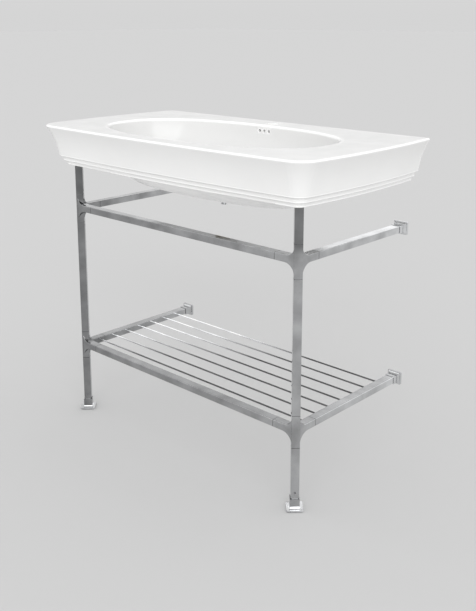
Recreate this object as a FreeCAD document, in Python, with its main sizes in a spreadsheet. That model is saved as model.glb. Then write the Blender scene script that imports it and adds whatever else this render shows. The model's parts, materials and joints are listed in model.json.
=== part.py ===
import FreeCAD, Part
import math
import os
import Sketcher
from FreeCAD import Placement, Rotation, Vector

# Driving sizes in millimetres: alias, value
SIZES = [
    # Basin outside
    ("basin_width", 1000),
    ("basin_depth", 525),
    ("rim_height", 880),
    ("front_bow", 14.5),
    ("side_bow", 15),
    ("rim_corner", 59),
    ("apron_corner", 18),
    ("rim_round", 4),
    # Mouldings of the apron, from the rim down
    ("flare_drop", 87),
    ("flare_inset", 29.5),
    ("flare_hollow", 4.5),
    ("ovolo_reach", 3),
    ("ovolo_fall", 3),
    ("slab_ledge", 7),
    ("upper_slab", 14),
    ("lower_slab", 12),
    ("slab_step", 9.5),
    ("slab_round", 3),
    # Hollow under the deck
    ("deck_thickness", 18),
    ("apron_wall", 20),
    ("deck_wall", 27),
    ("back_wall", 16),
    ("hollow_corner", 95),
    # Bowl
    ("bowl_end_margin", 132),
    ("bowl_front_margin", 55),
    ("bowl_back_margin", 86),
    ("bowl_depth", 157),
    ("bowl_end_draw", 120),
    ("bowl_side_draw", 140),
    ("bowl_wall", 12),
    ("bowl_edge", 6),
    ("bowl_edge_lap", 0.1),
    # Openings in the ceramic
    ("tap_hole_radius", 17.5),
    ("tap_setback", 49),
    ("waste_hole_radius", 23),
    ("waste_offset", 33),
    ("waste_recess", 2),
    ("waste_seat_gap", 1),
    ("wall_hole_radius", 7),
    ("wall_hole_spacing", 280),
    ("wall_hole_drop", 52),
    ("overflow_radius", 4.2),
    ("overflow_pitch", 17),
    ("overflow_drop", 17),
    ("overflow_skin", 6),
    ("overflow_gap", 6),
    ("overflow_width", 60),
    # Frame
    ("leg_end_inset", 87),
    ("leg_front_inset", 92),
    ("leg_side", 21),
    ("rail_width", 24),
    ("rail_height", 18.6),
    ("tube_wall", 2),
    ("tube_round", 1.6),
    ("upper_rail_drop", 236),
    ("lower_rail_rise", 219),
    ("spigot_gap", 0.1),
    ("spigot_length", 25),
    ("seam_gap", 0.8),
    # Corner joints
    ("joint_reach", 62),
    ("joint_rise", 30),
    ("joint_fall", 34),
    ("web_over", 24),
    ("web_under", 30),
    # Wall flanges
    ("flange_length", 28),
    ("flange_plate", 6.5),
    ("flange_cove", 6.5),
    ("collar_lip", 1.5),
    ("stud_hole_radius", 3.4),
    ("stud_hole_depth", 18),
    # Feet
    ("foot_plate", 4),
    ("foot_ledge", 5),
    ("foot_cove", 4),
    ("foot_collar_top", 30),
    ("leg_end", 33),
    ("foot_spigot", 48),
    ("foot_gap", 0.2),
    ("pad_thickness", 1.5),
    ("pad_inset", 2),
    ("cap_thickness", 3),
    ("cap_spigot", 12),
    # Set screws
    ("screw_radius", 2.5),
    ("screw_length", 4.5),
    ("screw_gap", 0.1),
    ("screw_sink", 0.4),
    ("screw_socket", 1.4),
    ("screw_socket_depth", 2.2),
    ("screw_from_seam", 11),
    ("foot_screw_rise", 14),
    ("groove_width", 6),
    ("groove_depth", 3),
    # Shelf
    ("rod_radius", 2.25),
    ("rod_back_gap", 66),
    ("rod_front_gap", 49),
    ("rod_engage", 6),
    ("rod_gap", 0.1),
    ("rod_end_gap", 1),
    # Waste
    ("seal_thickness", 2),
    ("waste_flange_radius", 31.5),
    ("waste_flange_thickness", 3),
    ("waste_thread_radius", 20.5),
    ("waste_bore_radius", 14),
    ("waste_tail_radius", 16),
    ("waste_tail_length", 16),
    ("waste_mouth_radius", 17),
    ("waste_mouth_depth", 22),
    ("waste_seal_gap", 0.3),
    ("window_width", 18),
    ("nut_circumradius", 30),
    ("nut_thickness", 8),
    ("nut_gap", 0.1),
    ("nut_relief", 2),
    ("guide_thickness", 5),
    ("guide_width", 8),
    ("stem_radius", 4),
    ("stem_gap", 0.05),
    ("stem_length", 40),
    ("plug_radius", 25),
    ("plug_thickness", 3),
    ("plug_dome", 3),
    ("plug_crown", 12),
    ("plug_gap", 0.3),
    ("plug_seal_radius", 23),
    ("plug_seal_gap", 0.1),
    ("plug_seal_thickness", 1.5),
]

ROD_COUNT = 7
OVERFLOW_COUNT = 3
OVAL_POINTS = 24
OVAL_POWER = 2.4
BOWL_POWER = 2
BOWL_LEVELS = (0, 0.25, 0.5, 0.7, 0.84, 0.94, 0.985, 1)
ROUND_ANGLES = (0, 30, 60, 90)
EDGE_ANGLES = (0, 25, 50, 75)
FLARE_LEVELS = (0, 0.25, 0.5, 0.75, 1)
SIDES = {"left": -1, "right": 1}
LEVELS = ("upper", "lower")

doc = FreeCAD.newDocument("washbasin")
sheet = doc.addObject("Spreadsheet::Sheet", "Sizes")
for row, (alias, value) in enumerate(SIZES, start=1):
    sheet.set(f"A{row}", alias)
    sheet.set(f"B{row}", str(value))
    sheet.setAlias(f"B{row}", alias)
doc.recompute()

# Positions shared by several pieces
WALL_Y = "Sizes.basin_depth / 2"
LEG_SPACING = "(Sizes.basin_width - 2 * Sizes.leg_end_inset)"
LEG_SETBACK = "(Sizes.basin_depth - Sizes.leg_front_inset)"
LEG_Y = "(Sizes.leg_front_inset - Sizes.basin_depth / 2)"
LEG_X = {side: f"({sign} * {LEG_SPACING} / 2)" for side, sign in SIDES.items()}
RAIL_TOP = {
    "upper": "(Sizes.rim_height - Sizes.upper_rail_drop)",
    "lower": "Sizes.lower_rail_rise",
}
RAIL_Z = {level: f"({top} - Sizes.rail_height / 2)" for level, top in RAIL_TOP.items()}
SEAM_OVER = {level: f"({top} + Sizes.joint_rise)" for level, top in RAIL_TOP.items()}
SEAM_UNDER = {
    level: f"({top} - Sizes.rail_height - Sizes.joint_fall)" for level, top in RAIL_TOP.items()
}
APRON_HEIGHT = "(Sizes.flare_drop + Sizes.ovolo_fall + Sizes.upper_slab + Sizes.lower_slab)"
APRON_BOTTOM = f"(Sizes.rim_height - {APRON_HEIGHT})"
LEG_BORE = "(Sizes.leg_side - 2 * Sizes.tube_wall)"
RAIL_BORE_WIDTH = "(Sizes.rail_width - 2 * Sizes.tube_wall)"
RAIL_BORE_HEIGHT = "(Sizes.rail_height - 2 * Sizes.tube_wall)"
LEG_SPIGOT = f"({LEG_BORE} - 2 * Sizes.spigot_gap)"
RAIL_SPIGOT_WIDTH = f"({RAIL_BORE_WIDTH} - 2 * Sizes.spigot_gap)"
RAIL_SPIGOT_HEIGHT = f"({RAIL_BORE_HEIGHT} - 2 * Sizes.spigot_gap)"
FOOT_SPIGOT = f"({LEG_BORE} - 2 * Sizes.foot_gap)"
FOOT_COLLAR = "(Sizes.leg_side + 2 * Sizes.collar_lip)"
FOOT_SIDE = f"({FOOT_COLLAR} + 2 * Sizes.foot_cove + 2 * Sizes.foot_ledge)"
BOWL_Y = "((Sizes.bowl_front_margin - Sizes.bowl_back_margin) / 2)"
WASTE_Y = f"({BOWL_Y} + Sizes.waste_offset)"
BOWL_FLOOR = "(Sizes.rim_height - Sizes.bowl_depth)"
RIB_DEPTH = "(2 * Sizes.overflow_skin + Sizes.overflow_gap)"
BOWL_UNDER = f"({BOWL_FLOOR} - {RIB_DEPTH})"
WASTE_SEAT = f"({BOWL_FLOOR} - Sizes.waste_recess)"
FLANGE_UNDER = f"({WASTE_SEAT} + Sizes.seal_thickness)"
FLANGE_TOP = f"({FLANGE_UNDER} + Sizes.waste_flange_thickness)"
NUT_TOP = f"({BOWL_UNDER} - Sizes.seal_thickness)"
THREAD_END = f"({NUT_TOP} - Sizes.nut_thickness - Sizes.nut_relief)"
TAIL_END = f"({THREAD_END} - Sizes.waste_tail_length)"

# Turns that lay a piece drawn along +Z into the object
UPRIGHT = Rotation()
DIAGONAL = Rotation(Vector(0, 0, 1), 45)
ALONG_X = Rotation(Vector(1, 1, 1), 120)
ALONG_Y = Rotation(Vector(1, 0, 0), -90)
FROM_WALL = Rotation(Vector(1, 0, 0), 90)
JOINT_TURN = {"left": Rotation(), "right": Rotation(Vector(0, 0, 1), 90)}

nodes = []


def size(alias):
    return float(sheet.get(alias))


def place(obj, x="0", y="0", z="0", turn=UPRIGHT):
    """Set the turn of an object and bind its position to three expressions."""
    obj.Placement = Placement(Vector(), turn)
    for axis, expression in zip("xyz", (x, y, z)):
        obj.setExpression(f".Placement.Base.{axis}", expression)
    return obj


def bind(obj, **expressions):
    for name, expression in expressions.items():
        obj.setExpression(name, expression)
    return obj


def keep(obj, label):
    """Name an object as one of the pieces that are written out."""
    obj.Label = label
    nodes.append(obj)
    return obj


# Primitives and booleans
def box(name, length, width, height):
    """Block centred on the Z axis, standing on z = 0."""
    block = doc.addObject("Part::Box", name)
    bind(block, Length=length, Width=width, Height=height)
    return place(block, f"-({length}) / 2", f"-({width}) / 2")


def cylinder(name, radius, height):
    return bind(doc.addObject("Part::Cylinder", name), Radius=radius, Height=height)


def cone(name, lower, upper, height):
    return bind(doc.addObject("Part::Cone", name), Radius1=lower, Radius2=upper, Height=height)


def fuse(name, shapes):
    joined = doc.addObject("Part::MultiFuse", name)
    joined.Shapes = shapes
    joined.Refine = True
    return joined


def cut(name, base, tool):
    result = doc.addObject("Part::Cut", name)
    result.Base = base
    result.Tool = tool
    return result


def ring(name, outer, inner, bottom, height):
    """Washer around the waste axis."""
    disc = place(cylinder(f"{name}_disc", outer, height), "0", WASTE_Y, bottom)
    hole = place(cylinder(f"{name}_hole", inner, height), "0", WASTE_Y, bottom)
    return cut(name, disc, hole)


# Sketched bodies
def new_sketch(body, name, role):
    sketch = body.newObject("Sketcher::SketchObject", name)
    plane = next(feature for feature in body.Origin.OriginFeatures if feature.Role == role)
    sketch.AttachmentSupport = [(plane, "")]
    sketch.MapMode = "FlatFace"
    return sketch


def driven(sketch, expression, *constraint):
    """Add a dimension to a sketch and bind it to an expression."""
    index = sketch.addConstraint(Sketcher.Constraint(*constraint))
    sketch.setExpression(f"Constraints[{index}]", expression)


def draw_rectangle(sketch, width, height):
    corners = [Vector(-1, -1, 0), Vector(1, -1, 0), Vector(1, 1, 0), Vector(-1, 1, 0)]
    for start, end in zip(corners, corners[1:] + corners[:1]):
        sketch.addGeometry(Part.LineSegment(start, end))
    for line in range(len(corners)):
        following = (line + 1) % len(corners)
        sketch.addConstraint(Sketcher.Constraint("Coincident", line, 2, following, 1))
        sketch.addConstraint(Sketcher.Constraint("Vertical" if line % 2 else "Horizontal", line))
    sketch.addConstraint(Sketcher.Constraint("Symmetric", 0, 1, 2, 1, -1, 1))
    driven(sketch, width, "DistanceX", 0, 1, 0, 2, 2)
    driven(sketch, height, "DistanceY", 1, 1, 1, 2, 2)


def draw_arm(sketch):
    """Side view of one joint arm: rail section with a curved web over and under it."""
    start = size("leg_side") / math.sqrt(2) - size("rail_width") / 2
    top = size("rail_height") / 2
    over = size("web_over")
    under = size("web_under")
    reach = size("joint_reach")
    normal = Vector(0, 0, 1)
    corners = {
        "over_axis": Vector(0, top + over, 0),
        "over_web": Vector(start, top + over, 0),
        "over_rail": Vector(start + over, top, 0),
        "end_over": Vector(reach, top, 0),
        "end_under": Vector(reach, -top, 0),
        "under_rail": Vector(start + under, -top, 0),
        "under_web": Vector(start, -top - under, 0),
        "under_axis": Vector(0, -top - under, 0),
    }
    over_circle = Part.Circle(Vector(start + over, top + over, 0), normal, over)
    under_circle = Part.Circle(Vector(start + under, -top - under, 0), normal, under)
    over_line = sketch.addGeometry(Part.LineSegment(corners["over_axis"], corners["over_web"]))
    over_arc = sketch.addGeometry(Part.ArcOfCircle(over_circle, math.pi, 1.5 * math.pi))
    top_line = sketch.addGeometry(Part.LineSegment(corners["over_rail"], corners["end_over"]))
    end_line = sketch.addGeometry(Part.LineSegment(corners["end_over"], corners["end_under"]))
    bottom_line = sketch.addGeometry(Part.LineSegment(corners["end_under"], corners["under_rail"]))
    under_arc = sketch.addGeometry(Part.ArcOfCircle(under_circle, 0.5 * math.pi, math.pi))
    under_line = sketch.addGeometry(Part.LineSegment(corners["under_web"], corners["under_axis"]))
    axis_line = sketch.addGeometry(Part.LineSegment(corners["under_axis"], corners["over_axis"]))
    loop = (over_line, over_arc, top_line, end_line, bottom_line, under_arc, under_line, axis_line)
    for edge, following in zip(loop, loop[1:] + loop[:1]):
        sketch.addConstraint(Sketcher.Constraint("Coincident", edge, 2, following, 1))
    for line in (over_line, top_line, bottom_line, under_line):
        sketch.addConstraint(Sketcher.Constraint("Horizontal", line))
    sketch.addConstraint(Sketcher.Constraint("Vertical", axis_line))
    sketch.addConstraint(Sketcher.Constraint("PointOnObject", over_line, 1, -2))
    sketch.addConstraint(Sketcher.Constraint("Symmetric", end_line, 1, end_line, 2, -1))
    web_start = "Sizes.leg_side / sqrt(2) - Sizes.rail_width / 2"
    for arc, web_point, rail_point, radius in (
        (over_arc, 1, 2, "Sizes.web_over"),
        (under_arc, 2, 1, "Sizes.web_under"),
    ):
        sketch.addConstraint(Sketcher.Constraint("Horizontal", arc, web_point, arc, 3))
        sketch.addConstraint(Sketcher.Constraint("Vertical", arc, rail_point, arc, 3))
        driven(sketch, radius, "Radius", arc, size(radius.split(".")[1]))
        driven(sketch, web_start, "DistanceX", -1, 1, arc, web_point, start)
    driven(sketch, "Sizes.rail_height", "DistanceY", end_line, 2, end_line, 1, 2 * top)
    driven(sketch, "Sizes.joint_reach", "DistanceX", -1, 1, end_line, 1, reach)


def pad(body, name, sketch, length, both_ways=False):
    feature = body.newObject("PartDesign::Pad", name)
    feature.Profile = sketch
    feature.setExpression("Length", length)
    feature.SideType = "Symmetric" if both_ways else "One side"
    doc.recompute()
    return feature


def pocket(body, name, sketch, depth=None, both_ways=False):
    """Cut a sketch into a body along +Z, or through it both ways."""
    before = body.Shape.Volume
    feature = body.newObject("PartDesign::Pocket", name)
    feature.Profile = sketch
    if depth is None:
        feature.Type = "ThroughAll"
    else:
        feature.setExpression("Length", depth)
    feature.SideType = "Symmetric" if both_ways else "One side"
    feature.Reversed = not both_ways
    doc.recompute()
    if body.Shape.Volume >= before:
        raise RuntimeError(f"{name} cuts nothing")
    return feature


def round_edges(body, name, feature, wanted):
    """Round the edges of a feature that the test picks."""
    picked = [f"Edge{i}" for i, edge in enumerate(feature.Shape.Edges, start=1) if wanted(edge)]
    fillet = body.newObject("PartDesign::Fillet", name)
    fillet.Base = (feature, picked)
    fillet.setExpression("Radius", "Sizes.tube_round")
    doc.recompute()
    return fillet


def runs_along_z(edge):
    direction = edge.tangentAt(edge.FirstParameter)
    return abs(direction.z) > abs(direction.x) + abs(direction.y)


def bar(name, width, height, length, rounded=True):
    """Solid bar along +Z, as a rule with rounded long edges."""
    body = doc.addObject("PartDesign::Body", name)
    sketch = new_sketch(body, f"{name}_outline", "XY_Plane")
    draw_rectangle(sketch, width, height)
    feature = pad(body, f"{name}_length", sketch, length)
    if rounded:
        round_edges(body, f"{name}_rounds", feature, runs_along_z)
    return body


def tube(name, width, height, length):
    """Rectangular tube along +Z."""
    body = bar(name, width, height, length)
    sketch = new_sketch(body, f"{name}_bore", "XY_Plane")
    draw_rectangle(sketch, f"{width} - 2 * Sizes.tube_wall", f"{height} - 2 * Sizes.tube_wall")
    pocket(body, f"{name}_hollow", sketch)
    return body


def joint_arm(name, role, along):
    """Arm of a corner joint, drawn on the plane that holds the leg axis and the rail axis."""
    body = doc.addObject("PartDesign::Body", name)
    sketch = new_sketch(body, f"{name}_side_view", role)
    draw_arm(sketch)
    feature = pad(body, f"{name}_breadth", sketch, "Sizes.rail_width", both_ways=True)
    web_start = size("leg_side") / math.sqrt(2) - size("rail_width") / 2

    def borders_the_web(edge):
        first, last = (getattr(vertex.Point, along) for vertex in edge.Vertexes)
        return abs(first - last) > web_start and max(first, last) > 2 * web_start

    round_edges(body, f"{name}_rounds", feature, borders_the_web)
    return body


def draw_cove_circles(sketch, width, base, radius):
    """Pair of circles that hollow the two sides of a block drawn in above its plate."""
    for sign in SIDES.values():
        circle = sketch.addGeometry(Part.Circle(Vector(sign, 1, 0), Vector(0, 0, 1), 1))
        driven(sketch, radius, "Radius", circle, 1)
        if sign > 0:
            driven(sketch, f"{width} / 2 + {radius}", "DistanceX", -1, 1, circle, 3, 1)
        else:
            driven(sketch, f"{width} / 2 + {radius}", "DistanceX", circle, 3, -1, 1, 1)
        driven(sketch, f"{base} + {radius}", "DistanceY", -1, 1, circle, 3, 1)


def coved_socket(name, collar, plate, cove, collar_top, spigot, spigot_length):
    """Plate that draws in through a hollow moulding to a collar, with a spigot on top."""
    width, height = collar
    body = doc.addObject("PartDesign::Body", name)
    base = new_sketch(body, f"{name}_base", "XY_Plane")
    draw_rectangle(base, f"{width} + 2 * {cove}", f"{height} + 2 * {cove}")
    block = pad(body, f"{name}_block", base, f"{plate} + {cove}")
    round_edges(body, f"{name}_rounds", block, runs_along_z)
    for role, across in (("XZ_Plane", width), ("YZ_Plane", height)):
        circles = new_sketch(body, f"{name}_cove_{role[:2]}", role)
        draw_cove_circles(circles, across, plate, cove)
        pocket(body, f"{name}_hollow_{role[:2]}", circles, both_ways=True)
    neck = new_sketch(body, f"{name}_neck", "XY_Plane")
    draw_rectangle(neck, width, height)
    pad(body, f"{name}_collar", neck, collar_top)
    core = new_sketch(body, f"{name}_core", "XY_Plane")
    draw_rectangle(core, *spigot)
    pad(body, f"{name}_spigot", core, f"{collar_top} + {spigot_length}")
    return body


# Set screws, each drawn with its outer end at z = 0 and driven in along +Z
def set_screw(name, x, y, z, turn):
    shank = cylinder(f"{name}_shank", "Sizes.screw_radius", "Sizes.screw_length")
    place(shank, z="Sizes.screw_sink")
    socket = doc.addObject("Part::Prism", f"{name}_socket")
    bind(socket, Circumradius="Sizes.screw_socket", Height="Sizes.screw_socket_depth")
    place(socket, z="Sizes.screw_sink")
    return place(cut(name, shank, socket), x, y, z, turn)


def screw_hole(name, x, y, z, turn):
    radius = "Sizes.screw_radius + Sizes.screw_gap"
    return place(cylinder(name, radius, "2 * Sizes.screw_sink + Sizes.screw_length"), x, y, z, turn)


def rail_screw_spots():
    """Undersides of the rails, near each end."""
    spots = []
    for level in LEVELS:
        bottom = f"{RAIL_TOP[level]} - Sizes.rail_height"
        from_axis = "Sizes.joint_reach + Sizes.screw_from_seam"
        for side, sign in SIDES.items():
            spots.append((f"{LEG_X[side]} - {sign} * ({from_axis})", LEG_Y, bottom, UPRIGHT))
            spots.append((LEG_X[side], f"{LEG_Y} + {from_axis}", bottom, UPRIGHT))
            from_wall = "Sizes.flange_length + Sizes.screw_from_seam"
            spots.append((LEG_X[side], f"{WALL_Y} - ({from_wall})", bottom, UPRIGHT))
    return spots


def leg_screw_spots():
    """Faces of the legs that look back and inward, above and below each joint."""
    spots = []
    for side, sign in SIDES.items():
        inward = Rotation(Vector(0, 0, 1), Vector(sign, -1, 0))
        x = f"{LEG_X[side]} - {sign} * Sizes.leg_side / 2 * cos(45)"
        y = f"{LEG_Y} + Sizes.leg_side / 2 * cos(45)"
        for level in LEVELS:
            spots.append((x, y, f"{SEAM_OVER[level]} + Sizes.screw_from_seam", inward))
            spots.append((x, y, f"{SEAM_UNDER[level]} - Sizes.screw_from_seam", inward))
    return spots


def foot_screw_spots():
    """Front right face of each leg, just above the foot."""
    inward = Rotation(Vector(0, 0, 1), Vector(-1, 1, 0))
    y = f"{LEG_Y} - Sizes.leg_side / 2 * cos(45)"
    spots = []
    for side in SIDES:
        x = f"{LEG_X[side]} + Sizes.leg_side / 2 * cos(45)"
        spots.append((x, y, "Sizes.leg_end + Sizes.foot_screw_rise", inward))
    return spots


screw_holes = []
for group, spots in (
    ("rail_set_screws", rail_screw_spots()),
    ("leg_set_screws", leg_screw_spots()),
    ("foot_set_screws", foot_screw_spots()),
):
    screws = [set_screw(f"{group}_{i}", *spot) for i, spot in enumerate(spots)]
    screw_holes += [screw_hole(f"{group}_hole_{i}", *spot) for i, spot in enumerate(spots)]
    compound = doc.addObject("Part::Compound", group)
    compound.Links = screws
    keep(compound, group)
screw_drill = fuse("screw_drill", screw_holes)

# Shelf rods, and the holes they enter
ROD_HALF = f"({LEG_SPACING} / 2 - Sizes.rail_width / 2 + Sizes.rod_engage)"
ROD_RUN = f"({LEG_SETBACK} - Sizes.rod_back_gap - Sizes.rod_front_gap)"
rod_holes = []
for index in range(ROD_COUNT):
    rod_y = f"{WALL_Y} - Sizes.rod_back_gap - {ROD_RUN} * {index} / {ROD_COUNT - 1}"
    rod = cylinder(f"rod_{index}", "Sizes.rod_radius", f"2 * {ROD_HALF}")
    keep(place(rod, f"-{ROD_HALF}", rod_y, RAIL_Z["lower"], ALONG_X), f"shelf_rod_{index + 1}")
    hole_half = f"({ROD_HALF} + Sizes.rod_end_gap)"
    hole = cylinder(f"rod_hole_{index}", "Sizes.rod_radius + Sizes.rod_gap", f"2 * {hole_half}")
    rod_holes.append(place(hole, f"-{hole_half}", rod_y, RAIL_Z["lower"], ALONG_X))
shelf_drill = fuse("shelf_drill", screw_holes + rod_holes)

# Legs, in three lengths of tube on each side
LEG_RUNS = {
    "upper": (f"({SEAM_OVER['upper']} + Sizes.seam_gap)", f"({APRON_BOTTOM} - Sizes.cap_thickness)"),
    "middle": (f"({SEAM_OVER['lower']} + Sizes.seam_gap)", f"({SEAM_UNDER['upper']} - Sizes.seam_gap)"),
    "lower": ("Sizes.leg_end", f"({SEAM_UNDER['lower']} - Sizes.seam_gap)"),
}
for side in SIDES:
    for run, (bottom, top) in LEG_RUNS.items():
        label = f"leg_{run}_{side}"
        blank = tube(f"{label}_blank", "Sizes.leg_side", "Sizes.leg_side", f"{top} - {bottom}")
        place(blank, LEG_X[side], LEG_Y, bottom, DIAGONAL)
        keep(cut(f"{label}_drilled", blank, screw_drill), label)

# Rails, each a seam short of the joints and flanges that it meets
RAIL_START = "(Sizes.joint_reach + Sizes.seam_gap)"
for level in LEVELS:
    label = f"front_rail_{level}"
    length = f"({LEG_SPACING} - 2 * {RAIL_START})"
    blank = tube(f"{label}_blank", "Sizes.rail_width", "Sizes.rail_height", length)
    place(blank, f"-{length} / 2", LEG_Y, RAIL_Z[level], ALONG_X)
    keep(cut(f"{label}_drilled", blank, screw_drill), label)
    drill = shelf_drill if level == "lower" else screw_drill
    for side in SIDES:
        label = f"side_rail_{level}_{side}"
        length = f"{LEG_SETBACK} - {RAIL_START} - Sizes.flange_length - Sizes.seam_gap"
        blank = tube(f"{label}_blank", "Sizes.rail_width", "Sizes.rail_height", length)
        place(blank, LEG_X[side], f"{LEG_Y} + {RAIL_START}", RAIL_Z[level], ALONG_Y)
        keep(cut(f"{label}_drilled", blank, drill), label)

# Corner joints: one casting, used four times and turned for its side
JOINT_HEIGHT = "(Sizes.joint_rise + Sizes.rail_height + Sizes.joint_fall)"
JOINT_BOTTOM = "(-Sizes.rail_height / 2 - Sizes.joint_fall)"
ARM_LENGTH = "Sizes.joint_reach + Sizes.spigot_length"
SPIGOTS_HEIGHT = f"({JOINT_HEIGHT} + 2 * Sizes.spigot_length)"
core = bar("joint_core", "Sizes.leg_side", "Sizes.leg_side", JOINT_HEIGHT)
place(core, z=JOINT_BOTTOM, turn=DIAGONAL)
leg_spigots = bar("joint_leg_spigots", LEG_SPIGOT, LEG_SPIGOT, SPIGOTS_HEIGHT, False)
place(leg_spigots, z=f"{JOINT_BOTTOM} - Sizes.spigot_length", turn=DIAGONAL)
front_spigot = bar("joint_front_spigot", RAIL_SPIGOT_WIDTH, RAIL_SPIGOT_HEIGHT, ARM_LENGTH, False)
place(front_spigot, turn=ALONG_X)
side_spigot = bar("joint_side_spigot", RAIL_SPIGOT_WIDTH, RAIL_SPIGOT_HEIGHT, ARM_LENGTH, False)
place(side_spigot, turn=ALONG_Y)
arms = [joint_arm("joint_front_arm", "XZ_Plane", "x"), joint_arm("joint_side_arm", "YZ_Plane", "y")]
for level in LEVELS:
    drill = shelf_drill if level == "lower" else screw_drill
    for side in SIDES:
        label = f"corner_joint_{level}_{side}"
        casting = fuse(f"{label}_casting", arms + [core, leg_spigots, front_spigot, side_spigot])
        place(casting, LEG_X[side], LEG_Y, RAIL_Z[level], JOINT_TURN[side])
        keep(cut(f"{label}_drilled", casting, drill), label)

# Wall flanges, each with a blind threaded hole for a hanger stud
for level in LEVELS:
    for side in SIDES:
        label = f"wall_flange_{level}_{side}"
        flange = coved_socket(
            f"{label}_blank",
            ("(Sizes.rail_width + 2 * Sizes.collar_lip)", "(Sizes.rail_height + 2 * Sizes.collar_lip)"),
            "Sizes.flange_plate",
            "Sizes.flange_cove",
            "Sizes.flange_length",
            (RAIL_SPIGOT_WIDTH, RAIL_SPIGOT_HEIGHT),
            "Sizes.spigot_length",
        )
        mouth = new_sketch(flange, f"{label}_stud_mouth", "XY_Plane")
        circle = mouth.addGeometry(Part.Circle(Vector(), Vector(0, 0, 1), 1))
        mouth.addConstraint(Sketcher.Constraint("Coincident", circle, 3, -1, 1))
        driven(mouth, "Sizes.stud_hole_radius", "Radius", circle, 1)
        pocket(flange, f"{label}_stud_hole", mouth, "Sizes.stud_hole_depth")
        place(flange, LEG_X[side], WALL_Y, RAIL_Z[level], FROM_WALL)
        keep(cut(f"{label}_drilled", flange, screw_drill), label)

# Feet with their floor pads, and the caps on top of the legs
for side in SIDES:
    foot = coved_socket(
        f"foot_{side}_body",
        (FOOT_COLLAR, FOOT_COLLAR),
        "Sizes.foot_plate",
        "Sizes.foot_cove",
        "(Sizes.foot_collar_top - Sizes.pad_thickness)",
        (FOOT_SPIGOT, FOOT_SPIGOT),
        "Sizes.foot_spigot",
    )
    sole = new_sketch(foot, f"foot_{side}_sole", "XY_Plane")
    draw_rectangle(sole, FOOT_SIDE, FOOT_SIDE)
    pad(foot, f"foot_{side}_plate", sole, "Sizes.foot_plate")
    groove = new_sketch(foot, f"foot_{side}_groove_end", "XY_Plane")
    groove.setExpression(".AttachmentOffset.Base.y", f"-{FOOT_SPIGOT} / 2")
    groove.setExpression(".AttachmentOffset.Base.z", "Sizes.leg_end - Sizes.pad_thickness")
    draw_rectangle(groove, "Sizes.groove_width", "2 * Sizes.groove_depth")
    pocket(foot, f"foot_{side}_groove", groove)
    keep(place(foot, LEG_X[side], LEG_Y, "Sizes.pad_thickness", DIAGONAL), f"foot_{side}")
    pad_side = f"{FOOT_SIDE} - 2 * Sizes.pad_inset"
    floor_pad = bar(f"pad_{side}", pad_side, pad_side, "Sizes.pad_thickness")
    keep(place(floor_pad, LEG_X[side], LEG_Y, "0", DIAGONAL), f"floor_pad_{side}")
    plate = bar(f"cap_{side}_plate", "Sizes.leg_side", "Sizes.leg_side", "Sizes.cap_thickness")
    place(plate, LEG_X[side], LEG_Y, f"{APRON_BOTTOM} - Sizes.cap_thickness", DIAGONAL)
    cap_height = "(Sizes.cap_spigot + Sizes.cap_thickness)"
    plug = bar(f"cap_{side}_spigot", LEG_SPIGOT, LEG_SPIGOT, cap_height, False)
    place(plug, LEG_X[side], LEG_Y, f"{APRON_BOTTOM} - {cap_height}", DIAGONAL)
    keep(fuse(f"cap_{side}", [plate, plug]), f"leg_cap_{side}")


# Waste fitting
def waste_cylinder(name, radius, bottom, top):
    return place(cylinder(name, radius, f"{top} - {bottom}"), "0", WASTE_Y, bottom)


def waste_bars(name, width, length, bottom, height):
    """Two bars crossed on the waste axis."""
    lay = box(f"{name}_x", length, width, height)
    stand = box(f"{name}_y", width, length, height)
    for block, breadth in ((lay, width), (stand, length)):
        block.setExpression(".Placement.Base.y", f"{WASTE_Y} - ({breadth}) / 2")
        block.setExpression(".Placement.Base.z", bottom)
    return [lay, stand]


GUIDE_TOP = f"({FLANGE_TOP} - Sizes.waste_mouth_depth)"
GUIDE_BOTTOM = f"({GUIDE_TOP} - Sizes.guide_thickness)"
BOSS_BOTTOM = f"({GUIDE_TOP} - 2 * Sizes.guide_thickness)"
waste_metal = fuse("waste_metal", [
    waste_cylinder("waste_flange", "Sizes.waste_flange_radius", FLANGE_UNDER, FLANGE_TOP),
    waste_cylinder("waste_thread", "Sizes.waste_thread_radius", THREAD_END, FLANGE_TOP),
    waste_cylinder("waste_tail", "Sizes.waste_tail_radius", TAIL_END, FLANGE_TOP),
])
waste_space = fuse("waste_space", [
    waste_cylinder("waste_bore", "Sizes.waste_bore_radius", TAIL_END, FLANGE_TOP),
    waste_cylinder("waste_mouth", "Sizes.waste_mouth_radius", GUIDE_TOP, FLANGE_TOP),
] + waste_bars(
    "waste_windows",
    "Sizes.window_width",
    "2 * Sizes.waste_thread_radius",
    f"({BOWL_UNDER} + Sizes.overflow_skin / 2)",
    f"({RIB_DEPTH} - Sizes.overflow_skin)",
))
waste_guide = fuse("waste_guide", [
    waste_cylinder("guide_boss", "2 * Sizes.stem_radius", BOSS_BOTTOM, GUIDE_TOP),
] + waste_bars(
    "guide_bars",
    "Sizes.guide_width",
    "Sizes.waste_bore_radius + Sizes.waste_tail_radius",
    GUIDE_BOTTOM,
    "Sizes.guide_thickness",
))
waste_tube = cut("waste_tube", waste_metal, waste_space)
waste_blank = fuse("waste_blank", [waste_tube, waste_guide])
stem_hole = waste_cylinder("stem_hole", "Sizes.stem_radius + Sizes.stem_gap", BOSS_BOTTOM, GUIDE_TOP)
keep(cut("waste_fitting", waste_blank, stem_hole), "waste_body")

seal_bore = "Sizes.waste_thread_radius + Sizes.waste_seal_gap"
seal_rim = "Sizes.waste_flange_radius - Sizes.seal_thickness"
keep(ring("top_seal", seal_rim, seal_bore, WASTE_SEAT, "Sizes.seal_thickness"), "waste_top_seal")
keep(ring("bottom_seal", seal_rim, seal_bore, NUT_TOP, "Sizes.seal_thickness"), "waste_bottom_seal")

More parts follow.
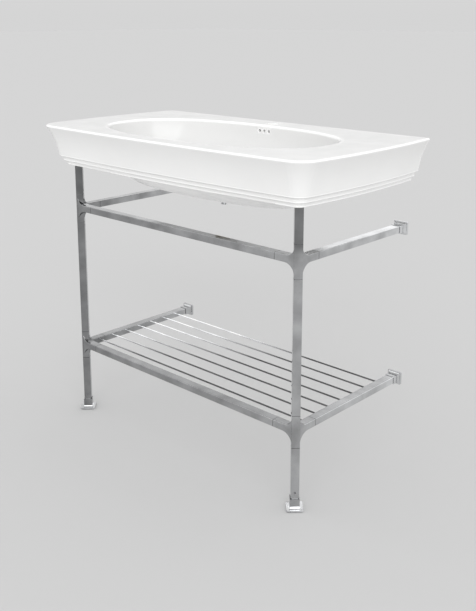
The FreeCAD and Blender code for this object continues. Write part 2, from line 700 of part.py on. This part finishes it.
NUT_BOTTOM = f"({NUT_TOP} - Sizes.nut_thickness)"
nut_hexagon = doc.addObject("Part::Prism", "nut_hexagon")
bind(nut_hexagon, Circumradius="Sizes.nut_circumradius", Height="Sizes.nut_thickness")
place(nut_hexagon, "0", WASTE_Y, NUT_BOTTOM)
nut_bore = waste_cylinder("nut_bore", "Sizes.waste_thread_radius + Sizes.nut_gap", NUT_BOTTOM, NUT_TOP)
keep(cut("back_nut", nut_hexagon, nut_bore), "waste_back_nut")

SEAL_BOTTOM = f"({FLANGE_TOP} + Sizes.plug_gap)"
PLUG_UNDER = f"({SEAL_BOTTOM} + Sizes.plug_seal_thickness)"
PLUG_EDGE = f"({PLUG_UNDER} + Sizes.plug_thickness)"
plug_dome = cone("plug_dome", "Sizes.plug_radius", "Sizes.plug_crown", "Sizes.plug_dome")
plug_parts = [
    waste_cylinder("plug_disc", "Sizes.plug_radius", PLUG_UNDER, PLUG_EDGE),
    place(plug_dome, "0", WASTE_Y, PLUG_EDGE),
    waste_cylinder("plug_stem", "Sizes.stem_radius", f"({PLUG_UNDER} - Sizes.stem_length)", PLUG_EDGE),
]
keep(fuse("plug", plug_parts), "waste_plug")
stem_clear = "Sizes.stem_radius + Sizes.plug_seal_gap"
plug_ring = ring("plug_ring", "Sizes.plug_seal_radius", stem_clear, SEAL_BOTTOM, "Sizes.plug_seal_thickness")
keep(plug_ring, "plug_seal")


# Basin casting
def circle_meeting(first, first_radius, second, second_radius):
    """Front one of the two points where two circles in plan meet."""
    span = second - first
    distance = span.Length
    along = (distance ** 2 + first_radius ** 2 - second_radius ** 2) / (2 * distance)
    across = math.sqrt(first_radius ** 2 - along ** 2)
    unit = span / distance
    middle = first + unit * along
    turned = Vector(-unit.y, unit.x, 0) * across
    return min(middle + turned, middle - turned, key=lambda point: point.y)


def corner_arc(centre, radius, start, end):
    outward = (start - centre) + (end - centre)
    return Part.Arc(start, centre + outward * (radius / outward.Length), end).toShape()


def outline(inset, front_corner, back, height):
    """Plan of the basin drawn in by an inset: bowed front and sides, round front corners, flat back."""
    half = size("basin_width") / 2 - inset
    wall = size("basin_depth") / 2
    front = inset - wall
    middle = (front + wall) / 2
    half_depth = (wall - front) / 2
    front_radius = (half ** 2 + size("front_bow") ** 2) / (2 * size("front_bow"))
    side_radius = (half_depth ** 2 + size("side_bow") ** 2) / (2 * size("side_bow"))
    front_centre = Vector(0, front + front_radius, 0)
    side_centre = Vector(half - side_radius, middle, 0)
    corner = circle_meeting(
        front_centre, front_radius - front_corner, side_centre, side_radius - front_corner
    )
    on_front = front_centre + (corner - front_centre) * (front_radius / (front_radius - front_corner))
    on_side = side_centre + (corner - side_centre) * (side_radius / (side_radius - front_corner))
    on_back = Vector(side_centre.x + math.sqrt(side_radius ** 2 - (back - middle) ** 2), back, 0)
    crest = Vector(half, middle, 0)

    def mirror(point):
        return Vector(-point.x, point.y, point.z)

    edges = [
        Part.LineSegment(mirror(on_back), on_back).toShape(),
        Part.Arc(on_back, crest, on_side).toShape(),
        corner_arc(corner, front_corner, on_side, on_front),
        Part.Arc(on_front, Vector(0, front, 0), mirror(on_front)).toShape(),
        corner_arc(mirror(corner), front_corner, mirror(on_front), mirror(on_side)),
        Part.Arc(mirror(on_side), mirror(crest), mirror(on_back)).toShape(),
    ]
    wire = Part.Wire(edges)
    wire.translate(Vector(0, 0, height))
    return wire


ovolo_inset = size("flare_inset") + size("ovolo_reach")
upper_slab_inset = ovolo_inset + size("slab_ledge")
lower_slab_inset = upper_slab_inset + size("slab_step")
apron_inset = lower_slab_inset + size("slab_round")
upper_slab_top = size("flare_drop") + size("ovolo_fall")
lower_slab_top = upper_slab_top + size("upper_slab")
apron_height = lower_slab_top + size("lower_slab")
rim = size("rim_height")


def apron_outline(inset, drop):
    """Plan of the apron at a drop below the rim; the corner tightens as the plan draws in."""
    tighten = (size("rim_corner") - size("apron_corner")) * inset / apron_inset
    beyond_wall = size("basin_depth") / 2 + size("back_wall")
    return outline(inset, size("rim_corner") - tighten, beyond_wall, rim - drop)


def flare():
    """Hollow upper moulding, an arc in section, under the rounded edge of the rim."""
    chord = math.hypot(size("flare_inset"), size("flare_drop"))
    radius = chord ** 2 / (8 * size("flare_hollow")) + size("flare_hollow") / 2
    half_angle = math.asin(chord / (2 * radius))
    lean = math.atan2(size("flare_inset"), size("flare_drop"))
    sections = []
    for level in FLARE_LEVELS:
        angle = half_angle * (2 * level - 1)
        along = chord / 2 + radius * math.sin(angle)
        bulge = radius * (math.cos(angle) - math.cos(half_angle))
        inset = along * math.sin(lean) + bulge * math.cos(lean)
        drop = along * math.cos(lean) - bulge * math.sin(lean)
        depth = size("rim_round") + drop * (1 - size("rim_round") / size("flare_drop"))
        sections.append(apron_outline(inset, depth))
    return Part.makeLoft(sections, True)


def rim_edge():
    """Rounded upper edge of the rim."""
    radius = size("rim_round")
    sections = []
    for degrees in ROUND_ANGLES:
        angle = math.radians(degrees)
        sections.append(apron_outline(radius * (1 - math.sin(angle)), radius * (1 - math.cos(angle))))
    return Part.makeLoft(sections, True)


def rounded_edge(inset, drop, reach, fall):
    """Quarter round that turns in under a vertical face."""
    sections = []
    for degrees in ROUND_ANGLES:
        angle = math.radians(degrees)
        sections.append(apron_outline(inset + reach * (1 - math.cos(angle)), drop + fall * math.sin(angle)))
    return Part.makeLoft(sections, True)


def slab(inset, top, bottom):
    """Flat-faced moulding with a rounded lower edge."""
    face = Part.Face(apron_outline(inset, top))
    straight = face.extrude(Vector(0, 0, top - bottom + size("slab_round")))
    edge = rounded_edge(inset, bottom - size("slab_round"), size("slab_round"), size("slab_round"))
    return straight.fuse(edge)


def underside_hollow():
    back = size("basin_depth") / 2 - size("back_wall")
    corner = size("hollow_corner")
    low = outline(lower_slab_inset + size("apron_wall"), corner, back, rim - apron_height)
    high = outline(size("deck_wall"), corner, back, rim - size("deck_thickness"))
    return Part.makeLoft([low, high], True, True)


bowl_length = size("basin_width") - 2 * size("bowl_end_margin")
bowl_breadth = size("basin_depth") - size("bowl_front_margin") - size("bowl_back_margin")
bowl_middle = (size("bowl_front_margin") - size("bowl_back_margin")) / 2
bowl_floor = rim - size("bowl_depth")
waste_y = bowl_middle + size("waste_offset")


def oval(half_length, half_breadth, height):
    points = []
    for step in range(OVAL_POINTS):
        angle = 2 * math.pi * step / OVAL_POINTS
        x = half_length * math.copysign(abs(math.cos(angle)) ** (2 / OVAL_POWER), math.cos(angle))
        y = half_breadth * math.copysign(abs(math.sin(angle)) ** (2 / OVAL_POWER), math.sin(angle))
        points.append(Vector(x, bowl_middle + y, height))
    curve = Part.BSplineCurve()
    curve.interpolate(points, PeriodicFlag=True)
    return Part.Wire(curve.toShape())


def bowl(offset):
    """Space of the bowl grown all round by an offset: walls that turn in to a flat floor."""
    sections = []
    for level in BOWL_LEVELS:
        draw = 1 - (1 - level ** BOWL_POWER) ** (1 / BOWL_POWER)
        half_length = bowl_length / 2 + offset - draw * size("bowl_end_draw")
        half_breadth = bowl_breadth / 2 + offset - draw * size("bowl_side_draw")
        sections.append(oval(half_length, half_breadth, rim - level * (size("bowl_depth") + offset)))
    return Part.makeLoft(sections, True)


def bowl_edge():
    """Space above the rounded edge of the bowl, ending a little inside the bowl wall."""
    radius = size("bowl_edge")
    sections = []
    for degrees in EDGE_ANGLES:
        angle = math.radians(degrees)
        widen = radius * (math.sin(math.radians(EDGE_ANGLES[-1])) - math.sin(angle))
        half_length = bowl_length / 2 - size("bowl_edge_lap") + widen
        half_breadth = bowl_breadth / 2 - size("bowl_edge_lap") + widen
        sections.append(oval(half_length, half_breadth, rim - radius * (1 - math.cos(angle))))
    return Part.makeLoft(sections, True)


def behind_waste(width, top):
    """Block from the waste axis back to the wall, which limits the overflow passage."""
    depth = size("basin_depth") / 2 - waste_y - size("back_wall")
    return Part.makeBox(width, depth, top, Vector(-width / 2, waste_y, 0))


def front_of_wall(top):
    """Block that covers everything in front of the wall up to a height."""
    width = 2 * size("basin_width")
    depth = 2 * size("basin_depth")
    wall = size("basin_depth") / 2
    return Part.makeBox(width, depth, top, Vector(-width / 2, wall - depth, 0))


def upright_cylinder(radius, y, bottom, height):
    return Part.makeCylinder(radius, height, Vector(0, y, bottom))


def basin_holes():
    back = size("basin_depth") / 2
    depth = size("bowl_depth")
    seat_radius = size("waste_flange_radius") + size("waste_seat_gap")
    holes = [
        upright_cylinder(size("tap_hole_radius"), back - size("tap_setback"), bowl_floor, depth),
        upright_cylinder(size("waste_hole_radius"), waste_y, 0, rim),
        upright_cylinder(seat_radius, waste_y, bowl_floor - size("waste_recess"), depth),
    ]
    bolt_y = back - size("back_wall")
    bolt_z = rim - size("wall_hole_drop")
    for sign in SIDES.values():
        start = Vector(sign * size("wall_hole_spacing") / 2, bolt_y, bolt_z)
        hole = Part.makeCylinder(size("wall_hole_radius"), size("back_wall"), start, Vector(0, 1, 0))
        holes.append(hole)
    reach = size("overflow_skin") + size("overflow_gap") / 2
    for index in range(OVERFLOW_COUNT):
        x = (index - (OVERFLOW_COUNT - 1) / 2) * size("overflow_pitch")
        start = Vector(x, bowl_middle, rim - size("overflow_drop"))
        length = bowl_breadth / 2 + reach
        holes.append(Part.makeCylinder(size("overflow_radius"), length, start, Vector(0, 1, 0)))
    return holes


def basin_shape():
    apron = rim_edge().multiFuse([
        flare(),
        rounded_edge(size("flare_inset"), size("flare_drop"), size("ovolo_reach"), size("ovolo_fall")),
        slab(upper_slab_inset, upper_slab_top, lower_slab_top),
        slab(lower_slab_inset, lower_slab_top, apron_height),
    ])
    apron = apron.common(front_of_wall(2 * rim))
    deck_middle = rim - size("deck_thickness") / 2
    lining = bowl(size("bowl_wall")).common(front_of_wall(deck_middle))
    passage_outer = size("overflow_skin") + size("overflow_gap")
    rib_width = size("overflow_width") + 2 * size("overflow_skin")
    rib_depth = passage_outer + size("overflow_skin")
    boss = upright_cylinder(rib_width / 2, waste_y, bowl_floor - rib_depth, rib_depth)
    rib = bowl(rib_depth)
    rib = rib.common(behind_waste(rib_width, deck_middle - size("overflow_skin") / 2))
    passage_top = rim - size("overflow_drop") + 2 * size("overflow_radius")
    passage = bowl(passage_outer).cut(bowl(size("overflow_skin")))
    passage = passage.common(behind_waste(size("overflow_width"), passage_top))
    shell = apron.cut(underside_hollow()).fuse(lining).fuse(rib.fuse(boss))
    for space in [bowl(0), bowl_edge(), passage] + basin_holes():
        shell = shell.cut(space)
    return shell.Solids[0]


basin = doc.addObject("Part::Feature", "basin_casting")
basin.Shape = basin_shape()
basin.Placement = Placement()
keep(basin, "basin")

doc.recompute()
for obj in doc.Objects:
    if "Invalid" in obj.State or "Error" in obj.State:
        raise RuntimeError(f"{obj.Label} is in state {obj.State}")
    if obj.isDerivedFrom("Part::Feature") and (obj.Shape.isNull() or not obj.Shape.isValid()):
        raise RuntimeError(f"{obj.Label} has no valid shape")

os.makedirs("parts", exist_ok=True)
for node in nodes:
    node.Shape.exportStep(f"parts/{node.Label}.step")
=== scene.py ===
import json
import math
import bpy
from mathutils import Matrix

# Camera, fitted to the photograph: place in metres, lens and picture in pixels, sensor in millimetres,
# shift as a share of the picture
CAMERA_PLACE = (1.6204, -1.6573, 1.1830)
CAMERA_YAW = math.radians(43.229)
CAMERA_PITCH = math.radians(12.548)
FOCAL_PIXELS = 861.1
IMAGE_HEIGHT = 611
SENSOR = 36
SHIFT_Y = -0.16

# Millimetres in a metre, for the sizes in the record
MM_PER_M = 1000

# Floor, just below the pads so that they share no face with it
FLOOR_GREY = 0.605
FLOOR_SIZE = 120
FLOOR_DROP = 0.0005

# Sky levels from the horizon, 0, to overhead, 1, and the place of a stop before it gets its own
SKY = ((0.0, 0.663), (0.18, 0.72), (0.28, 1.3), (0.5, 1.3), (1.0, 0.65))
NEW_STOP = 0.5

# Sun, its turn and its width in degrees
SUN_TURN = (80, 0, 42)
SUN_STRENGTH = 1.6
SUN_ANGLE = 60

# From here on, a noise is its scale and detail, a bump its strength and depth in metres, and an edge its
# reach in metres and the cosines of the turn at which it starts and is full

# Parts of a noise that are used, for plain numbers and for colours
NUMBER_SPAN = (0.3, 0.7)
COLOUR_SPAN = (0.35, 0.65)

# Plating tone with painted reflection, as the room's dark and pale sides mirror in it: level at the middle
# of the plan, change per metre to the right and to the back, darkest and palest. The rods' painted
# reflection is pale to the left and dark to the right; the waste has an even, paler tone, painted light
# that lifts its shade under the basin
FRAME_PAINTED_REFLECTION = (0.5, (0.216, 0.6), (0.222, 0.9))
ROD_PAINTED_REFLECTION = (-0.073, (-3.0, 3.47), (0.13, 0.95))
WASTE_PAINTED_LIGHT = (1.0, (0.0, 0.0), (0.9, 1.0))

# Share of that tone between two heights, all painted light: painted shade under the basin, a painted
# highlight at the plate of the foot, and painted reflection on faces that look up, with the least upward
# part of their normal
UNDER_BASIN_PAINTED_SHADE = ((0.65, 0.67), (1.0, 0.5))
FOOT_PLATE_PAINTED_HIGHLIGHT = ((0.0095, 0.0105), (2.6, 1.0))
TOP_FACE_PAINTED_REFLECTION = ((0.25, 0.6), (0.5, 1.05))
TOP_FACING = 0.9

# Plating all over: tint, clouds in the tone, darker edges, haze and waves
PLATE_TINT = (0.985, 0.995, 1.01)
PLATE_CLOUDS = (16.0, 6.0)
PLATE_CLOUD_SHARES = (0.76, 1.24)
PLATE_EDGE = (0.0015, 0.99, 0.9)
PLATE_EDGE_SHARES = (1.0, 0.75)
PLATE_HAZE = (60.0, 5.0)
PLATE_ROUGHNESS = (0.06, 0.14)
PLATE_WAVES = (30.0, 1.0)
PLATE_WAVE_BUMP = (0.08, 0.0006)

# Ceramic, in drops below the rim: end of the deck, end of the upper part, edges of the mouldings with half
# the height of their painted highlight bands, and underside of the apron, below which downward faces get
# painted light
DECK = 0.005
UPPER_PART = 0.08
MOULDING_EDGES = (0.0885, 0.1025, 0.1145)
BAND_HALF = 0.0021
APRON = 0.1165

# Ceramic, painted highlights along the edges of the upper part and of the deck, and a painted highlight
# ring round the tap hole
EDGE_TURN = (0.995, 0.96)
UPPER_EDGE = (0.009, *EDGE_TURN)
DECK_EDGE = (0.022, *EDGE_TURN)
TAP_RING = 0.006

# Ceramic, plan around the bowl, and the least backward part of a normal on the back face
BOWL_HALF_LENGTH = 0.37
BOWL_FRONT = -0.21
BOWL_BACK = 0.18
BACK_FACING = 0.999

# Glaze: colours (the bowl colour painted shade, the edge colour painted highlights and painted light
# underneath), clouds in them, haze, waves and peel
GLAZE_LOW = (0.815, 0.815, 0.81)
GLAZE_HIGH = (0.84, 0.84, 0.835)
GLAZE_BOWL_PAINTED_SHADE = (0.745, 0.745, 0.74)
GLAZE_PAINTED_LIGHT = (0.96, 0.96, 0.955)
GLAZE_CLOUDS = (5.0, 3.0)
GLAZE_HAZE = (18.0, 3.0)
GLAZE_ROUGHNESS = (0.12, 0.2)
GLAZE_WAVES = (14.0, 1.0)
GLAZE_WAVE_BUMP = (0.12, 0.001)
GLAZE_PEEL = (420.0, 1.0)
GLAZE_PEEL_BUMP = (0.03, 0.0002)

# Turned metals: dark and pale colour, and the tool marks that they share
SCREW_STEEL = ((0.2, 0.2, 0.21), (0.34, 0.34, 0.35))
BRASS = ((0.4, 0.35, 0.27), (0.52, 0.46, 0.36))
MARKS = (300.0, 2.0)
MARK_STRETCH = (1, 1, 8)
MARK_ROUGHNESS = (0.25, 0.45)
MARK_BUMP = (0.2, 0.0002)

# Polymers: dark and pale colour, roughness and speckle noise, and what they share
NYLON = ((0.03, 0.03, 0.032), (0.055, 0.055, 0.057), (0.4, 0.6), (250.0, 4.0))
RUBBER = ((0.02, 0.02, 0.02), (0.045, 0.045, 0.044), (0.65, 0.85), (500.0, 4.0))
SPECKLE_BUMP = (0.25, 0.0003)

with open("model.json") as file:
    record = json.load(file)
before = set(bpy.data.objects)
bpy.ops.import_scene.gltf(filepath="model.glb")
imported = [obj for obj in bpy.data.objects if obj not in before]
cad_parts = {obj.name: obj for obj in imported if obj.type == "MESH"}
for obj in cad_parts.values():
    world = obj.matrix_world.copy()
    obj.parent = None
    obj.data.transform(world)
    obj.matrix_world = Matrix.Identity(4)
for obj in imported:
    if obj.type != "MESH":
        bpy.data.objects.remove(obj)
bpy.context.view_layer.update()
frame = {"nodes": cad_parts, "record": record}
scene = bpy.context.scene
scene.view_settings.view_transform = "Standard"


# Node helpers
def link(tree, source, target):
    tree.links.new(source, target)


def new_material(name):
    material = bpy.data.materials.new(name)
    material.use_nodes = True
    return material.node_tree, material.node_tree.nodes["Principled BSDF"], material


def noise(tree, scale, detail, stretch=(1, 1, 1)):
    """Noise laid in the object's own space."""
    place = tree.nodes.new("ShaderNodeTexCoord")
    mapping = tree.nodes.new("ShaderNodeMapping")
    mapping.inputs["Scale"].default_value = stretch
    texture = tree.nodes.new("ShaderNodeTexNoise")
    texture.inputs["Scale"].default_value = scale
    texture.inputs["Detail"].default_value = detail
    link(tree, place.outputs["Object"], mapping.inputs["Vector"])
    link(tree, mapping.outputs["Vector"], texture.inputs["Vector"])
    return texture.outputs["Fac"]


def colours(tree, factor, low, high):
    """Map the middle of a noise to a range of colours."""
    ramp = tree.nodes.new("ShaderNodeValToRGB")
    for stop, position, colour in zip(ramp.color_ramp.elements, COLOUR_SPAN, (low, high)):
        stop.position = position
        stop.color = (*colour, 1)
    link(tree, factor, ramp.inputs["Fac"])
    return ramp.outputs["Color"]


def ranged(tree, value, source, target):
    """Map one range of plain numbers to another and stop at its ends."""
    span = tree.nodes.new("ShaderNodeMapRange")
    for name, number in zip(("From Min", "From Max", "To Min", "To Max"), (*source, *target)):
        span.inputs[name].default_value = number
    link(tree, value, span.inputs["Value"])
    return span.outputs["Result"]


def spread(tree, factor, low, high):
    """Map the middle of a noise to a range of plain numbers."""
    return ranged(tree, factor, NUMBER_SPAN, (low, high))


def math_node(tree, operation, *values):
    """Arithmetic on sockets and plain numbers."""
    node = tree.nodes.new("ShaderNodeMath")
    node.operation = operation
    for socket, value in zip(node.inputs, values):
        if isinstance(value, (int, float)):
            socket.default_value = value
        else:
            link(tree, value, socket)
    return node.outputs["Value"]


def facing(tree, axis, least):
    """One on faces that look along an axis, none elsewhere."""
    surface = tree.nodes.new("ShaderNodeNewGeometry")
    split = tree.nodes.new("ShaderNodeSeparateXYZ")
    link(tree, surface.outputs["True Normal"], split.inputs["Vector"])
    return math_node(tree, "GREATER_THAN", split.outputs[axis], least)


def flattened(tree, where):
    """Surface normal, without smoothing where a mask says so."""
    surface = tree.nodes.new("ShaderNodeNewGeometry")
    pick = tree.nodes.new("ShaderNodeMix")
    pick.data_type = "VECTOR"
    link(tree, where, pick.inputs["Factor"])
    sockets = [socket for socket in pick.inputs if socket.type == "VECTOR" and socket.name in "AB"]
    for socket, kind in zip(sockets, ("Normal", "True Normal")):
        link(tree, surface.outputs[kind], socket)
    return next(socket for socket in pick.outputs if socket.type == "VECTOR")


def bumps(tree, shader, heights, normal=None):
    """Stack bumps, each given as its height noise and its strength and depth."""
    for height, (strength, distance) in heights:
        bump = tree.nodes.new("ShaderNodeBump")
        bump.inputs["Strength"].default_value = strength
        bump.inputs["Distance"].default_value = distance
        link(tree, height, bump.inputs["Height"])
        if normal is not None:
            link(tree, normal, bump.inputs["Normal"])
        normal = bump.outputs["Normal"]
    link(tree, normal, shader.inputs["Normal"])


def edge_mask(tree, radius, start, full):
    """One along edges, none on flat faces, by how far the normal turns nearby."""
    bevel = tree.nodes.new("ShaderNodeBevel")
    bevel.inputs["Radius"].default_value = radius
    surface = tree.nodes.new("ShaderNodeNewGeometry")
    turn = tree.nodes.new("ShaderNodeVectorMath")
    turn.operation = "DOT_PRODUCT"
    link(tree, bevel.outputs["Normal"], turn.inputs[0])
    link(tree, surface.outputs["Normal"], turn.inputs[1])
    return ranged(tree, turn.outputs["Value"], (start, full), (0.0, 1.0))


def mixed(tree, factor, first, second):
    """Mix a colour socket towards a plain colour."""
    mix = tree.nodes.new("ShaderNodeMix")
    mix.data_type = "RGBA"
    link(tree, factor, mix.inputs["Factor"])
    link(tree, first, mix.inputs["A"])
    mix.inputs["B"].default_value = (*second, 1)
    return mix.outputs["Result"]


# Materials
def glazed_ceramic():
    """White glaze, with painted highlights along the edges, in bands at the mouldings and round the tap
    hole, painted light underneath, and painted shade inside the bowl.
    """
    tree, shader, material = new_material("glazed_ceramic")
    rim = max(vertex.co.z for vertex in frame["nodes"]["basin"].data.vertices)
    tap = next(mount for mount in frame["record"]["mounts"] if mount["name"] == "tap_hole")
    tap_reach = tap["dims"]["r_mm"] / MM_PER_M + TAP_RING
    coordinates = tree.nodes.new("ShaderNodeTexCoord")
    place = tree.nodes.new("ShaderNodeSeparateXYZ")
    slope = tree.nodes.new("ShaderNodeSeparateXYZ")
    link(tree, coordinates.outputs["Object"], place.inputs["Vector"])
    link(tree, coordinates.outputs["Normal"], slope.inputs["Vector"])
    x, y, z = place.outputs
    outside_bowl = math_node(tree, "GREATER_THAN", math_node(tree, "ABSOLUTE", x), BOWL_HALF_LENGTH)
    for side, limit in (("LESS_THAN", BOWL_FRONT), ("GREATER_THAN", BOWL_BACK)):
        outside_bowl = math_node(tree, "MAXIMUM", outside_bowl, math_node(tree, side, y, limit))
    deck = math_node(tree, "GREATER_THAN", z, rim - DECK)
    back = facing(tree, "Y", BACK_FACING)

    # Painted highlights: whiter glaze along the edges of the upper part and of the deck, round the tap
    # hole and in bands at the moulding edges
    upper = math_node(tree, "GREATER_THAN", z, rim - UPPER_PART)
    deck_edge_highlights = math_node(tree, "MULTIPLY", edge_mask(tree, *DECK_EDGE), deck)
    edges = math_node(tree, "MAXIMUM", edge_mask(tree, *UPPER_EDGE), deck_edge_highlights)
    painted_light = math_node(tree, "MULTIPLY", edges, upper)
    from_tap = tree.nodes.new("ShaderNodeVectorMath")
    from_tap.operation = "DISTANCE"
    link(tree, coordinates.outputs["Object"], from_tap.inputs[0])
    from_tap.inputs[1].default_value = (*tap["pos_m"][:2], rim)
    tap_ring_highlight = math_node(tree, "LESS_THAN", from_tap.outputs["Value"], tap_reach)
    painted_light = math_node(tree, "MAXIMUM", painted_light, tap_ring_highlight)
    for drop in MOULDING_EDGES:
        band = math_node(tree, "COMPARE", z, rim - drop, BAND_HALF)
        painted_light = math_node(tree, "MAXIMUM", painted_light, math_node(tree, "MULTIPLY", band, outside_bowl))
    painted_light = math_node(tree, "SUBTRACT", painted_light, back)
    # Painted light: whiter glaze on downward faces under the apron
    downward = math_node(tree, "LESS_THAN", slope.outputs["Z"], 0.0)
    painted_light_beneath = math_node(tree, "MULTIPLY", math_node(tree, "LESS_THAN", z, rim - APRON), downward)
    painted_light = math_node(tree, "MAXIMUM", painted_light, painted_light_beneath)

    # Painted shade: greyer glaze on upward faces inside the bowl
    upward = math_node(tree, "GREATER_THAN", slope.outputs["Z"], 0.0)
    not_bowl = math_node(tree, "MAXIMUM", outside_bowl, deck)
    bowl_painted_shade_mask = math_node(tree, "GREATER_THAN", upward, not_bowl)
    tint = colours(tree, noise(tree, *GLAZE_CLOUDS), GLAZE_LOW, GLAZE_HIGH)
    shaded = mixed(tree, bowl_painted_shade_mask, tint, GLAZE_BOWL_PAINTED_SHADE)
    link(tree, mixed(tree, painted_light, shaded, GLAZE_PAINTED_LIGHT), shader.inputs["Base Color"])
    haze = spread(tree, noise(tree, *GLAZE_HAZE), *GLAZE_ROUGHNESS)
    link(tree, haze, shader.inputs["Roughness"])
    waves = (noise(tree, *GLAZE_WAVES), GLAZE_WAVE_BUMP)
    peel = (noise(tree, *GLAZE_PEEL), GLAZE_PEEL_BUMP)
    bumps(tree, shader, [waves, peel], flattened(tree, back))
    return material


def chrome(name, level, slopes, limits, painted_light_heights=(), painted_top_reflection=None):
    """Plating whose tone carries painted reflection over the plan, and its own share of it in bands of
    height: painted shade, painted highlight or painted reflection.
    """
    tree, shader, material = new_material(name)
    shader.inputs["Metallic"].default_value = 1.0
    coordinates = tree.nodes.new("ShaderNodeTexCoord")
    place = tree.nodes.new("ShaderNodeSeparateXYZ")
    link(tree, coordinates.outputs["Object"], place.inputs["Vector"])
    z = place.outputs["Z"]
    # Painted reflection: the tone changes over the plan
    tone = level
    for axis, slope in zip("XY", slopes):
        tone = math_node(tree, "ADD", math_node(tree, "MULTIPLY", place.outputs[axis], slope), tone)
    # Painted shade under the basin and a painted highlight at the foot plate, as shares of the tone
    # between heights
    for part in painted_light_heights:
        tone = math_node(tree, "MULTIPLY", tone, ranged(tree, z, *part))
    # Painted reflection on faces that look up: darker low down, a little paler high up
    if painted_top_reflection:
        top_change = math_node(tree, "SUBTRACT", ranged(tree, z, *painted_top_reflection), 1.0)
        top_share = math_node(tree, "MULTIPLY_ADD", facing(tree, "Z", TOP_FACING), top_change, 1.0)
        tone = math_node(tree, "MULTIPLY", tone, top_share)
    tone = ranged(tree, tone, limits, limits)
    cloud = spread(tree, noise(tree, *PLATE_CLOUDS), *PLATE_CLOUD_SHARES)
    # Darker along edges
    edge_darkening = ranged(tree, edge_mask(tree, *PLATE_EDGE), (0.0, 1.0), PLATE_EDGE_SHARES)
    for share in (cloud, edge_darkening):
        tone = math_node(tree, "MULTIPLY", tone, share)
    colour = tree.nodes.new("ShaderNodeCombineColor")
    for channel, share in zip(colour.inputs, PLATE_TINT):
        link(tree, math_node(tree, "MULTIPLY", tone, share), channel)
    link(tree, colour.outputs["Color"], shader.inputs["Base Color"])
    haze = spread(tree, noise(tree, *PLATE_HAZE), *PLATE_ROUGHNESS)
    link(tree, haze, shader.inputs["Roughness"])
    bumps(tree, shader, [(noise(tree, *PLATE_WAVES), PLATE_WAVE_BUMP)])
    return material


def dull_metal(name, low, high):
    """Turned metal with fine tool marks."""
    tree, shader, material = new_material(name)
    shader.inputs["Metallic"].default_value = 1.0
    marks = noise(tree, *MARKS, MARK_STRETCH)
    link(tree, colours(tree, marks, low, high), shader.inputs["Base Color"])
    link(tree, spread(tree, marks, *MARK_ROUGHNESS), shader.inputs["Roughness"])
    bumps(tree, shader, [(marks, MARK_BUMP)])
    return material


def dark_polymer(name, low, high, roughness, grain):
    """Dull polymer with a fine speckle."""
    tree, shader, material = new_material(name)
    speckle = noise(tree, *grain)
    link(tree, colours(tree, speckle, low, high), shader.inputs["Base Color"])
    link(tree, spread(tree, speckle, *roughness), shader.inputs["Roughness"])
    bumps(tree, shader, [(speckle, SPECKLE_BUMP)])
    return material


materials = {
    "glazed_ceramic": glazed_ceramic(),
    "chrome": chrome("chrome", *FRAME_PAINTED_REFLECTION, (UNDER_BASIN_PAINTED_SHADE, FOOT_PLATE_PAINTED_HIGHLIGHT), TOP_FACE_PAINTED_REFLECTION),
    "nylon": dark_polymer("nylon", *NYLON),
    "rubber": dark_polymer("rubber", *RUBBER),
    "screw_steel": dull_metal("screw_steel", *SCREW_STEEL),
    "brass": dull_metal("brass", *BRASS),
}
# Rods: painted reflection, pale to the left and dark to the right
rod_chrome = chrome("rod_chrome", *ROD_PAINTED_REFLECTION)
# Waste: paler plating, painted light that lifts its shade under the basin
waste_chrome = chrome("waste_chrome", *WASTE_PAINTED_LIGHT)
for piece in frame["record"]["subparts"]:
    node = frame["nodes"][piece["node"]]
    finish = materials[piece["material_slot"]]
    if piece["node"].startswith("shelf_rod"):
        finish = rod_chrome
    if piece["node"] in ("waste_body", "waste_plug"):
        finish = waste_chrome
    node.data.materials.clear()
    node.data.materials.append(finish)


# Surroundings
def add_floor():
    bpy.ops.mesh.primitive_plane_add(size=FLOOR_SIZE, location=(0, 0, -FLOOR_DROP))
    floor = bpy.context.object
    floor.name = "floor"
    tree, shader, material = new_material("floor")
    shader.inputs["Roughness"].default_value = 1.0
    shader.inputs["Specular IOR Level"].default_value = 0.0
    shader.inputs["Base Color"].default_value = (FLOOR_GREY, FLOOR_GREY, FLOOR_GREY, 1)
    floor.data.materials.append(material)


def add_world():
    """Even backdrop at the horizon, brighter round the sides and softer overhead."""
    world = bpy.data.worlds.new("studio")
    world.use_nodes = True
    scene.world = world
    tree = world.node_tree
    place = tree.nodes.new("ShaderNodeTexCoord")
    split = tree.nodes.new("ShaderNodeSeparateXYZ")
    ramp = tree.nodes.new("ShaderNodeValToRGB")
    stops = ramp.color_ramp.elements
    while len(stops) < len(SKY):
        stops.new(NEW_STOP)
    for stop, (position, level) in zip(stops, SKY):
        stop.position = position
        stop.color = (level, level, level, 1)
    link(tree, place.outputs["Generated"], split.inputs["Vector"])
    link(tree, split.outputs["Z"], ramp.inputs["Fac"])
    link(tree, ramp.outputs["Color"], tree.nodes["Background"].inputs["Color"])


def add_sun():
    data = bpy.data.lights.new("sun", "SUN")
    data.energy = SUN_STRENGTH
    data.angle = math.radians(SUN_ANGLE)
    lamp = bpy.data.objects.new("sun", data)
    lamp.rotation_euler = [math.radians(turn) for turn in SUN_TURN]
    scene.collection.objects.link(lamp)


def add_camera():
    data = bpy.data.cameras.new("camera")
    data.sensor_width = SENSOR
    data.lens = FOCAL_PIXELS * SENSOR / IMAGE_HEIGHT
    data.shift_y = SHIFT_Y
    data.clip_end = 2 * FLOOR_SIZE
    camera = bpy.data.objects.new("camera", data)
    camera.location = CAMERA_PLACE
    camera.rotation_euler = (math.pi / 2 - CAMERA_PITCH, 0, CAMERA_YAW)
    scene.collection.objects.link(camera)
    scene.camera = camera


add_floor()
add_world()
add_sun()
add_camera()
